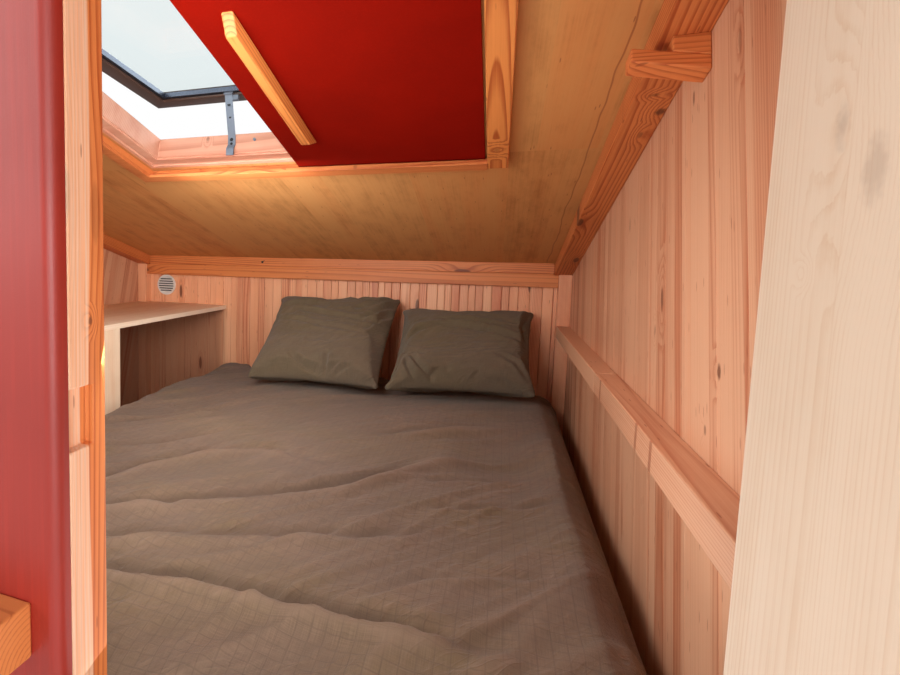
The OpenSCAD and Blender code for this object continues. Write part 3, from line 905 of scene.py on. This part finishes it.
class ALCOVE_OT_shutter(bpy.types.Operator):
    """Finishes the sliding shutter and the strips it runs in"""

    bl_idname = "alcove.shutter"
    bl_label = "Shutter"

    def execute(self, context):
        matt = ("red_matt_paint", "red", 0.78, 0.6, 0.0, 0.06)
        painted("shutter_panel", 0.0015, "shutter", matt)
        timber("shutter_handle", "framing", "slope", 0.003, body="shutter", look="figured")
        timber("shutter_spacers", "framing", "slope_wide", 0.0)
        timber("shutter_lips", "framing", "slope_wide", 0.001)
        timber("stop_batten", "framing", "slope", 0.002, look="figured")
        return {"FINISHED"}


class ALCOVE_OT_shelf(bpy.types.Operator):
    """Finishes the bedside shelf"""

    bl_idname = "alcove.shelf"
    bl_label = "Shelf"

    def execute(self, context):
        timber("shelf_top", "pale_spruce", "long", 0.001, stave=0.09)
        timber("shelf_front", "pale_spruce", "side", 0.001, stave=0.09)
        return {"FINISHED"}


def soft_box(low, high, cuts, radius):
    """A closed soft block: a cube cut into a grid, its edges rounded, its flat cut kept as UVs."""
    bm = bmesh.new()
    bmesh.ops.create_cube(bm, size=2)
    for way, count in enumerate(cuts):
        edges = [e for e in bm.edges if abs((e.verts[1].co - e.verts[0].co)[way]) > 0.5]
        bmesh.ops.subdivide_edges(bm, edges=edges, cuts=count - 1, use_grid_fill=True)
    half = (Vector(high) - Vector(low)) / 2
    middle = (Vector(low) + Vector(high)) / 2
    for vert in bm.verts:
        vert.co = Vector(c * h for c, h in zip(vert.co, half))
    uv = bm.loops.layers.uv.new("cloth")
    for face in bm.faces:
        for loop in face.loops:
            x, y, z = loop.vert.co
            loop[uv].uv = (x + z * 0.5, y + z * 0.5)
    for vert in bm.verts:
        core = Vector(max(-(h - radius), min(h - radius, c)) for c, h in zip(vert.co, half))
        out = vert.co - core
        if out.length > 1e-9:
            vert.co = core + out.normalized() * radius
        vert.co += middle
    return bm


def fill_cloth(made, pressure, frames, cap, slack, stiffness=8.0, pinned=None):
    """Fills a closed piece as cloth under pressure, caps how far it moves, and applies it."""
    start = [v.co.copy() for v in made.data.vertices]
    made.shape_key_add(name="Basis")
    rest = made.shape_key_add(name="cut")
    middle = sum(start, Vector()) / len(start)
    for point, place in zip(rest.data, start):
        point.co = middle + Vector(d * s for d, s in zip(place - middle, slack))
    modifier = made.modifiers.new("filling", "CLOTH")
    cloth = modifier.settings
    cloth.quality = 5
    cloth.mass = 0.25
    cloth.tension_stiffness = stiffness
    cloth.compression_stiffness = stiffness
    cloth.shear_stiffness = stiffness / 2
    cloth.bending_stiffness = 0.05
    cloth.use_pressure = True
    cloth.uniform_pressure_force = pressure
    cloth.effector_weights.gravity = 0
    cloth.rest_shape_key = rest
    if pinned:
        group = made.vertex_groups.new(name="held")
        group.add([i for i, p in enumerate(start) if pinned(p)], 1.0, "REPLACE")
        cloth.vertex_group_mass = "held"
    modifier.collision_settings.use_self_collision = False
    modifier.point_cache.frame_end = frames
    scene = bpy.context.scene
    for number in range(1, frames + 1):
        scene.frame_set(number)
    shown = made.evaluated_get(bpy.context.evaluated_depsgraph_get())
    ended = [v.co.copy() for v in shown.data.vertices]
    made.modifiers.remove(modifier)
    made.shape_key_clear()
    made.vertex_groups.clear()
    for vert, before, after in zip(made.data.vertices, start, ended):
        move = after - before
        if move.length > cap:
            move *= cap / move.length
        vert.co = before + move
    scene.frame_set(1)


class ALCOVE_OT_bedding(bpy.types.Operator):
    """Makes the bed: mattress, duvet and two pillows"""

    bl_idname = "alcove.bedding"
    bl_label = "Bedding"

    def execute(self, context):
        low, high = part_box("mattress")
        bm = soft_box(low, high, (28, 38, 6), 0.035)
        cloth = linen("mattress_cloth", "spruce")
        made = piece("mattress_cover", bm, cloth, "mattress_cloth", "mattress")
        self.make_duvet()
        for node, (corners, creases) in PILLOWS.items():
            self.make_pillow(node, corners, creases)
        return {"FINISHED"}

    def make_duvet(self):
        low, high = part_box("duvet")
        bm = soft_box(low, high, (116, 152, 7), 0.042)
        for vert in bm.verts:
            lift = (vert.co.z - low.z) / (high.z - low.z)
            vert.co.z += lift * duvet_lie(vert.co.x, vert.co.y)
        cloth = linen("duvet_linen", "duvet", sizes().check)
        made = piece("duvet_cover", bm, cloth, "duvet_linen", "duvet")
        slack, held = (1.015, 1.05, 1.0), low.z + 0.03
        fill_cloth(made, 2.5, 14, 0.02, slack, pinned=lambda place: place.z < held)
        smoothed(made)
        points = [vert.co for vert in made.data.vertices]
        drop = max(p.z for p in points) - high.z
        reach = (high.x + DUVET_GROWTH - BED_MIDDLE_X) / (max(p.x for p in points) - BED_MIDDLE_X)
        # Each point keeps its fold's rise, from which the linen paints highlight on crests and
        # shade in valleys
        fold = made.data.attributes.new("fold", "FLOAT", "POINT")
        for point, shown in zip(points, fold.data):
            lift = clamped((point.z - low.z - 0.03) / 0.06)
            if point.x > BED_MIDDLE_X:
                point.x = BED_MIDDLE_X + (point.x - BED_MIDDLE_X) * reach
            rise = folds(point)
            shown.value = lift * rise / 0.014
            sink = 0.010 * clamped((0.42 - point.y) / 0.3)
            point.z = min(point.z + lift * (rise - drop - sink), high.z + DUVET_GROWTH)
        flatten_below(made, low.z + 0.002)

    def make_pillow(self, node, corners, creases):
        """A filled pillow between four corners, low left, low right, top left and top right."""
        low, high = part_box(node)
        width, tall = high.x - low.x, 0.5
        corner = Vector((width / 2, tall / 2, 0.02))
        bm = soft_box(-corner, corner, (64, 62, 4), 0.019)
        low_left, low_right, top_left, top_right = (
            Vector((low.x + x, y, z)) for x, y, z in corners
        )
        facing = (low_right - top_left).cross(top_right - low_left).normalized()
        spots = []
        for vert in bm.verts:
            u, v = vert.co.x / (width / 2), vert.co.y / (tall / 2)
            crown = max(0.0, (1 - u ** 4) * (1 - v ** 4)) ** 0.75 * (1 - 0.22 * v)
            side = 1 if vert.co.z > 0 else -1
            share = 0.34 if side > 0 else 0.27
            away = vert.co.z * 0.3 + side * crown * sizes().pillow_belly * share
            u *= 1.05 - 0.045 * (1 - abs(v) ** 2) * abs(u) ** 6
            v *= 1.04 - 0.05 * (1 - abs(u) ** 2) * abs(v) ** 6
            v += 0.016 * noise.noise(Vector((u * 3.5, low.x * 9, 2.0))) * max(0.0, v)
            spots.append(Vector((u, v, side)))
            across = (u + 1) / 2
            bottom, top = low_left.lerp(low_right, across), top_left.lerp(top_right, across)
            vert.co = bottom.lerp(top, (v + 1) / 2) + facing * away
        bmesh.ops.recalc_face_normals(bm, faces=bm.faces)
        layer = bm.verts.layers.float_vector.new("spot")
        for vert, spot in zip(bm.verts, spots):
            vert[layer] = spot
        cloth = linen("pillow_linen", "pillow")
        made = piece(node + "_cover", bm, cloth, "pillow_linen", node)
        fill_cloth(made, 3.0, 18, 0.022, (1.03, 1.03, 1.03))
        smoothed(made)
        for vert, spot in zip(made.data.vertices, made.data.attributes["spot"].data):
            u, v, side = spot.vector
            if side > 0:
                place = Vector((u * width / 2, v * tall / 2))
                vert.co += facing * sum(crease(place, line, width, tall) for line in creases)
                wave = noise.noise(Vector((u * 2.2, v * 7, low.x * 5)))
                vert.co += facing * 0.0045 * wave * (1 - v * v)
                lane = noise.noise(Vector((u * 1.6 + v * 2, v * 6.5 - u * 2, low.x * 9)))
                vert.co += facing * 0.005 * max(0.0, 1 - abs(lane) * 5) * (1 - v * v) * (1 - u * u)
        made.data.attributes.remove(made.data.attributes["spot"])


def smoothed(made):
    """Divides every face in four and keeps the smooth shape."""
    modifier = made.modifiers.new("smoothing", "SUBSURF")
    modifier.levels = 1
    modifier.render_levels = 1
    bpy.context.view_layer.update()
    shown = made.evaluated_get(bpy.context.evaluated_depsgraph_get())
    mesh = bpy.data.meshes.new_from_object(shown)
    made.modifiers.clear()
    old, made.data = made.data, mesh
    bpy.data.meshes.remove(old)


def flatten_below(made, height):
    """Makes one face of the flat underside."""
    bm = bmesh.new()
    bm.from_mesh(made.data)
    under = [f for f in bm.faces if f.normal.z < -0.99 and all(v.co.z < height for v in f.verts)]
    for vert in {v for f in under for v in f.verts}:
        vert.co.z = height - 0.002
    bmesh.ops.dissolve_faces(bm, faces=under, use_verts=False)
    bm.to_mesh(made.data)
    bm.free()


def clamped(share):
    """A share kept from 0 to 1."""
    return max(0.0, min(1.0, share))


def bump_at(distance, width):
    """A smooth hump that is one at no distance and nothing beyond its width."""
    share = min(1.0, abs(distance) / width)
    return (1 - share * share) ** 2


def near_line(place, points):
    """How far a place lies to the left of a line of points, and its share of the way along."""
    best = (9.0, 0.0)
    for i in range(len(points) - 1):
        start, stop = Vector(points[i]), Vector(points[i + 1])
        way = stop - start
        share = clamped((place - start).dot(way) / way.length_squared)
        gap = place - start - way * share
        if gap.length < abs(best[0]):
            left = way.x * gap.y - way.y * gap.x
            best = (math.copysign(gap.length, left), (i + share) / (len(points) - 1))
    return best


def crease(place, line, width, tall):
    """How far a crease of a pillow sinks here. Its points are shares of the half sizes."""
    depth, spread, *points = line
    points = [(u * width / 2, v * tall / 2) for u, v in points]
    gap, share = near_line(place, points)
    reach = abs(gap) / spread
    if reach > 4:
        return 0.0
    fade = min(1.0, 0.35 + share * 4, 0.35 + (1 - share) * 4) * 1.5
    return depth * fade * (0.55 * math.exp(-((reach - 1.9) ** 2)) - math.exp(-reach * reach))


def duvet_lie(x, y):
    """How the duvet's top rises and falls over the bed, in metres."""
    rise = 0.005 * noise.noise(Vector((x * 2.1, y * 2.3, 3.0))) - 0.004
    rise += 0.014 * bump_at(x + 0.42, 0.14) * bump_at(y - 0.86, 0.16)
    rise += 0.012 * bump_at(x + 0.48, 0.24) * bump_at(y - 0.2, 0.7)
    rise -= 0.026 * bump_at(x - 0.73, 0.16) * bump_at(y - 0.12, 0.22)
    rise += 0.012 * bump_at(x - 0.86, 0.1) * bump_at(y + 0.1, 0.8)
    rise -= 0.014 * clamped((-0.71 - y) / 0.08)
    return rise


# The duvet's folds: height, width, then places on the bed, from the left, in metres
FOLDS = (
    (0.017, 0.020, (-0.10, -0.78), (0.05, -0.755), (0.16, -0.730), (0.29, -0.702),
     (0.47, -0.698), (0.62, -0.691), (0.77, -0.700)),
    (0.008, 0.022, (-0.42, -0.24), (-0.331, -0.108), (-0.172, 0.098), (-0.05, 0.22)),
    (0.009, 0.022, (-0.34, -0.40), (-0.218, -0.251), (-0.085, -0.147), (0.05, 0.03)),
    (0.011, 0.024, (-0.24, -0.60), (-0.083, -0.422), (-0.048, -0.332), (0.029, -0.19),
     (0.167, -0.114), (0.361, -0.145)),
    (0.013, 0.026, (-0.10, -0.64), (0.016, -0.546), (0.202, -0.425), (0.439, -0.242),
     (0.532, -0.08), (0.649, 0.065)),
    (0.008, 0.018, (-0.06, -0.53), (0.056, -0.506), (0.14, -0.50)),
    (0.009, 0.022, (-0.02, -0.71), (0.09, -0.639), (0.251, -0.561), (0.492, -0.459), (0.65, -0.38)),
    (0.010, 0.030, (0.40, 0.12), (0.52, 0.21), (0.635, 0.296), (0.80, 0.37)),
    (0.005, 0.014, (0.577, -0.282), (0.735, -0.217), (0.868, -0.152)),
    (0.005, 0.014, (0.56, -0.14), (0.66, -0.09), (0.80, -0.05)),
    (0.004, 0.012, (0.60, -0.56), (0.72, -0.50), (0.86, -0.45)),
)


def folds(point):
    """The folds of the duvet's top, in metres: the large ones, and small ones along them."""
    place = point.xy
    rise = 0.0
    for height, width, *points in FOLDS:
        gap, share = near_line(place, points)
        reach = gap / width
        if -3 < reach < 5:
            fade = min(1.0, share * 5, (1 - share) * 5)
            valley = 1.3 * math.exp(-((reach - 1.5) ** 2))
            rise += height * fade * (math.exp(-reach * reach) - valley)
    along, across = (place.x + place.y) * 0.707, (place.y - place.x) * 0.707
    bend = 0.12 * noise.noise(Vector((along * 1.3, across * 1.5, 9.0)))
    for lanes, share, seed in ((8.0, 1.0, 1.0), (17.0, 0.45, 5.0), (30.0, 0.2, 8.0)):
        level = noise.noise(Vector((along * lanes * 0.12, (across + bend) * lanes, seed)))
        sharp = 1 - min(1.0, abs(level) * 3.4)
        patch = 0.5 + 0.5 * noise.noise(Vector((place.x * 2.6, place.y * 2.4, seed + 4)))
        rise += sizes().fold * share * (sharp * sharp * patch - 0.2)
    return rise


# The pillows' corners over the left end of each pillow's place, then their creases
PILLOWS = {
    "pillow_left": (
        (
            (0.020, 0.488, 0.460), (0.528, 0.500, 0.463),
            (0.002, 0.905, 0.735), (0.535, 0.905, 0.755),
        ),
        (
            (0.010, 0.016, (-1.0, 0.34), (-0.75, 0.47), (-0.45, 0.54), (-0.1, 0.50)),
            (0.006, 0.011, (-0.95, 0.17), (-0.4, 0.08), (0.1, -0.06), (0.6, -0.14)),
            (0.006, 0.010, (-0.5, 0.36), (0.05, 0.22), (0.6, 0.14), (0.9, 0.2)),
            (0.007, 0.010, (0.98, 0.93), (0.70, 0.62), (0.42, 0.42)),
            (0.006, 0.009, (0.98, 0.74), (0.75, 0.40), (0.50, 0.12)),
            (0.005, 0.009, (0.97, 0.50), (0.82, 0.20), (0.66, -0.02)),
            (0.006, 0.010, (0.2, 0.9), (0.45, 0.72), (0.68, 0.70)),
            (0.008, 0.010, (-0.3, -0.72), (-0.1, -0.88), (0.2, -0.95)),
            (0.007, 0.008, (0.22, -0.64), (0.23, -0.8), (0.24, -0.95)),
            (0.006, 0.008, (0.42, -0.80), (0.34, -0.88), (0.26, -0.95)),
            (0.005, 0.008, (0.60, -0.82), (0.46, -0.9), (0.34, -0.96)),
        ),
    ),
    "pillow_right": (
        (
            (0.000, 0.53, 0.463), (0.486, 0.60, 0.465),
            (-0.006, 0.905, 0.708), (0.488, 0.905, 0.728),
        ),
        (
            (0.009, 0.014, (-0.88, -0.10), (-0.66, 0.14), (-0.35, 0.27), (0.05, 0.22),
             (0.5, 0.10), (0.88, 0.0)),
            (0.005, 0.010, (-0.4, 0.40), (0.0, 0.44), (0.5, 0.30)),
            (0.007, 0.011, (0.97, 0.90), (0.86, 0.5), (0.92, 0.1)),
            (0.008, 0.009, (-0.92, -0.36), (-0.72, -0.42), (-0.52, -0.46)),
            (0.009, 0.009, (-0.74, -0.44), (-0.58, -0.66), (-0.36, -0.92)),
            (0.008, 0.009, (-0.78, -0.44), (-0.72, -0.68), (-0.60, -0.94)),
            (0.007, 0.009, (-0.80, -0.45), (-0.88, -0.66), (-0.95, -0.90)),
            (0.005, 0.010, (0.5, -0.42), (0.74, -0.55), (0.9, -0.8)),
        ),
    ),
}


class ALCOVE_OT_fittings(bpy.types.Operator):
    """Adds the vent's face, and the hook on the upper plate"""

    bl_idname = "alcove.fittings"
    bl_label = "Fittings"

    def execute(self, context):
        low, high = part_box("vent_grille")
        middle = (low + high) / 2
        radius = (high.x - low.x) / 2 - 0.006
        pitch = 0.0115

        def half_width(rise):
            return math.sqrt(radius * radius - rise * rise)

        plate, gaps = node_copy("vent_grille"), bmesh.new()
        tilt = Matrix.Rotation(0.5, 4, "X")
        for i in range(-3, 4):
            half = half_width(i * pitch)
            place = Matrix.Translation((middle.x, low.y + 0.003, middle.z + i * pitch)) @ tilt
            block(plate, (-half, -0.001, -0.0035), (half, 0.001, 0.0035), 0.0004, place)
        # Dark sheets in the gaps between the slats: painted shade for the vent's openings
        for i in range(-3, 3):
            rise = (i + 0.5) * pitch
            half = half_width(rise) - 0.002
            block(gaps, (middle.x - half, low.y - 0.0007, middle.z + rise - 0.0022),
                  (middle.x + half, low.y - 0.0001, middle.z + rise + 0.0022))
        piece("vent_plate", plate, white_plastic(), "white_plastic", "vent_grille")
        piece("vent_gaps", gaps, paint("vent_shade", "gasket", 0.8, 0.1), "white_plastic")
        hook = bmesh.new()
        place = Matrix.Translation((-0.297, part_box("head_plate_upper")[0].y, 0.8945))
        block(hook, (-0.006, -0.0025, -0.005), (0.004, 0.0, 0.005), 0.0008, place)
        tip = Matrix.Translation((0.004, -0.006, 0.003)) @ Matrix.Rotation(1.1, 4, "Y")
        rod(hook, 0.0018, 0.016, place @ tip, 12)
        piece("wall_hook", hook, paint("black_steel", "gasket", 0.4, 0.1), "sash_brown")
        return {"FINISHED"}


def straight_rays(graph):
    """One for what the camera sees, plainly, mirrored or through glass."""
    seen = graph.add("ShaderNodeLightPath", out="Is Camera Ray")
    node = seen.socket.node
    for name in ("Is Glossy Ray", "Is Transmission Ray"):
        seen = seen.math("MAXIMUM", Wire(graph, node.outputs[name]))
    return seen


# Lamps: their place, the point they face, the side of their square and their watts
LAMPS = {
    "lamp_front": ((-2.6, -4.2, 2.2), (0.6, -1.0, 0.8), 2.6, 98),
    "lamp_right": ((2.4, -3.3, 1.0), (0.2, -0.9, 0.7), 1.4, 80),
    "lamp_left": ((-4.5, 0.5, 3.6), (0, 0, 0.7), 3.0, 150),
    "lamp_back": ((2.6, 4.6, 3.8), (0, 0, 0.9), 3.0, 150),
    "lamp_doorway": ((0.22, -0.88, 1.0), (0.1, 0.9, 0.5), 0.4, 8.4),
    "lamp_room": ((0.05, -0.12, 0.97), (0.1, 0.95, 0.55), 0.36, 2.7),
    "lamp_window": ((0.0, -0.42, 1.18), (0.0, -0.3, 0.4), 0.33, 2.8),
    "lamp_bounce": ((0.5, -0.6, 0.54), (0.56, -0.78, 1.3), 0.6, 1.2),
}

# The camera, as the vanishing points of the room's timbers give it
CAMERA_PLACE = (0.7124, -1.420, 0.930)
CAMERA_RIGHT = Vector((0.92850, 0.37090, 0.01813))
CAMERA_UP = Vector((-0.04937, 0.07491, 0.99597))
CAMERA_LENS = 22.48
CAMERA_SHIFT = (0.1940, -0.0372)


class ALCOVE_OT_stage(bpy.types.Operator):
    """Sets the floor, the lamps and the camera"""

    bl_idname = "alcove.stage"
    bl_label = "Stage"

    def execute(self, context):
        scene = context.scene
        self.make_floor(scene)
        self.make_world(scene)
        for name, (place, target, size, power) in LAMPS.items():
            lamp = bpy.data.lights.new(name, "AREA")
            lamp.energy = power
            lamp.size = size
            made = bpy.data.objects.new(name, lamp)
            made.location = place
            facing = Vector(target) - Vector(place)
            made.rotation_euler = facing.to_track_quat("-Z", "Y").to_euler()
            made.visible_camera = False
            scene.collection.objects.link(made)
        self.make_camera(scene)
        scene.view_settings.view_transform = "Standard"
        return {"FINISHED"}

    def make_floor(self, scene):
        """A pale floor that fades to white away from the alcove, and keeps its shadow."""
        bm = bmesh.new()
        bmesh.ops.create_grid(bm, x_segments=1, y_segments=1, size=60)
        mesh = bpy.data.meshes.new("studio_floor")
        bm.to_mesh(mesh)
        bm.free()
        graph = Graph("studio_floor")
        plain = graph.add("ShaderNodeBsdfDiffuse", None, {"Color": (0.8, 0.79, 0.77, 1)})
        white = graph.add("ShaderNodeEmission", None, {"Strength": 1.0})
        place = graph.add("ShaderNodeTexCoord", out="Object")
        away = graph.add("ShaderNodeVectorMath", {"operation": "LENGTH"}, {0: place}, out="Value")
        fade = away.step(1.5, 5.0) * straight_rays(graph)
        mixed = graph.add("ShaderNodeMixShader", None, {0: fade, 1: plain, 2: white})
        graph.add("ShaderNodeOutputMaterial", None, {"Surface": mixed})
        mesh.materials.append(graph.owner)
        floor = bpy.data.objects.new("studio_floor", mesh)
        floor.location.z = -0.001
        scene.collection.objects.link(floor)

    def make_camera(self, scene):
        """The camera of the photograph."""
        camera = bpy.data.cameras.new("camera")
        camera.lens = CAMERA_LENS
        camera.shift_x, camera.shift_y = CAMERA_SHIFT
        camera.clip_start = 0.02
        made = bpy.data.objects.new("camera", camera)
        axes = Matrix((CAMERA_RIGHT, CAMERA_UP, CAMERA_RIGHT.cross(CAMERA_UP)))
        made.matrix_world = Matrix.Translation(CAMERA_PLACE) @ axes.transposed().to_4x4()
        scene.collection.objects.link(made)
        scene.camera = made

    def make_world(self, scene):
        """Soft light from all sides, and white where the camera sees the world."""
        graph = Graph("studio", "worlds")
        seen = straight_rays(graph)
        soft = graph.add("ShaderNodeBackground", None, {"Color": (1, 1, 1, 1), "Strength": 0.38})
        white = graph.add("ShaderNodeBackground", None, {"Color": (1, 1, 1, 1), "Strength": 1.0})
        mixed = graph.add("ShaderNodeMixShader", None, {0: seen, 1: soft, 2: white})
        graph.add("ShaderNodeOutputWorld", None, {"Surface": mixed})
        scene.world = graph.owner


STEPS = (
    ALCOVE_OT_floor,
    ALCOVE_OT_outer_walls,
    ALCOVE_OT_linings,
    ALCOVE_OT_front_wall,
    ALCOVE_OT_timbers,
    ALCOVE_OT_ceiling,
    ALCOVE_OT_roof_window,
    ALCOVE_OT_shutter,
    ALCOVE_OT_shelf,
    ALCOVE_OT_bedding,
    ALCOVE_OT_fittings,
    ALCOVE_OT_stage,
)


class ALCOVE_PT_panel(bpy.types.Panel):
    """Lists the steps that dress the alcove"""

    bl_label = "Sleeping alcove"
    bl_idname = "ALCOVE_PT_panel"
    bl_space_type = "VIEW_3D"
    bl_region_type = "UI"
    bl_category = "Alcove"

    def draw(self, context):
        for step in STEPS:
            self.layout.operator(step.bl_idname)
        for group in (context.scene.alcove_sizes, context.scene.alcove_finishes):
            for name in group.bl_rna.properties.keys():
                if name not in ("rna_type", "name"):
                    self.layout.prop(group, name)


CLASSES = (AlcoveSizes, AlcoveFinishes, *STEPS, ALCOVE_PT_panel)


def register():
    for entry in CLASSES:
        bpy.utils.register_class(entry)
    bpy.types.Scene.alcove_sizes = PointerProperty(type=AlcoveSizes)
    bpy.types.Scene.alcove_finishes = PointerProperty(type=AlcoveFinishes)


def unregister():
    del bpy.types.Scene.alcove_finishes
    del bpy.types.Scene.alcove_sizes
    for entry in reversed(CLASSES):
        bpy.utils.unregister_class(entry)


def main():
    register()
    for step in STEPS:
        group, name = step.bl_idname.split(".")
        getattr(getattr(bpy.ops, group), name)()
    bpy.context.view_layer.update()


if __name__ == "__main__":
    main()
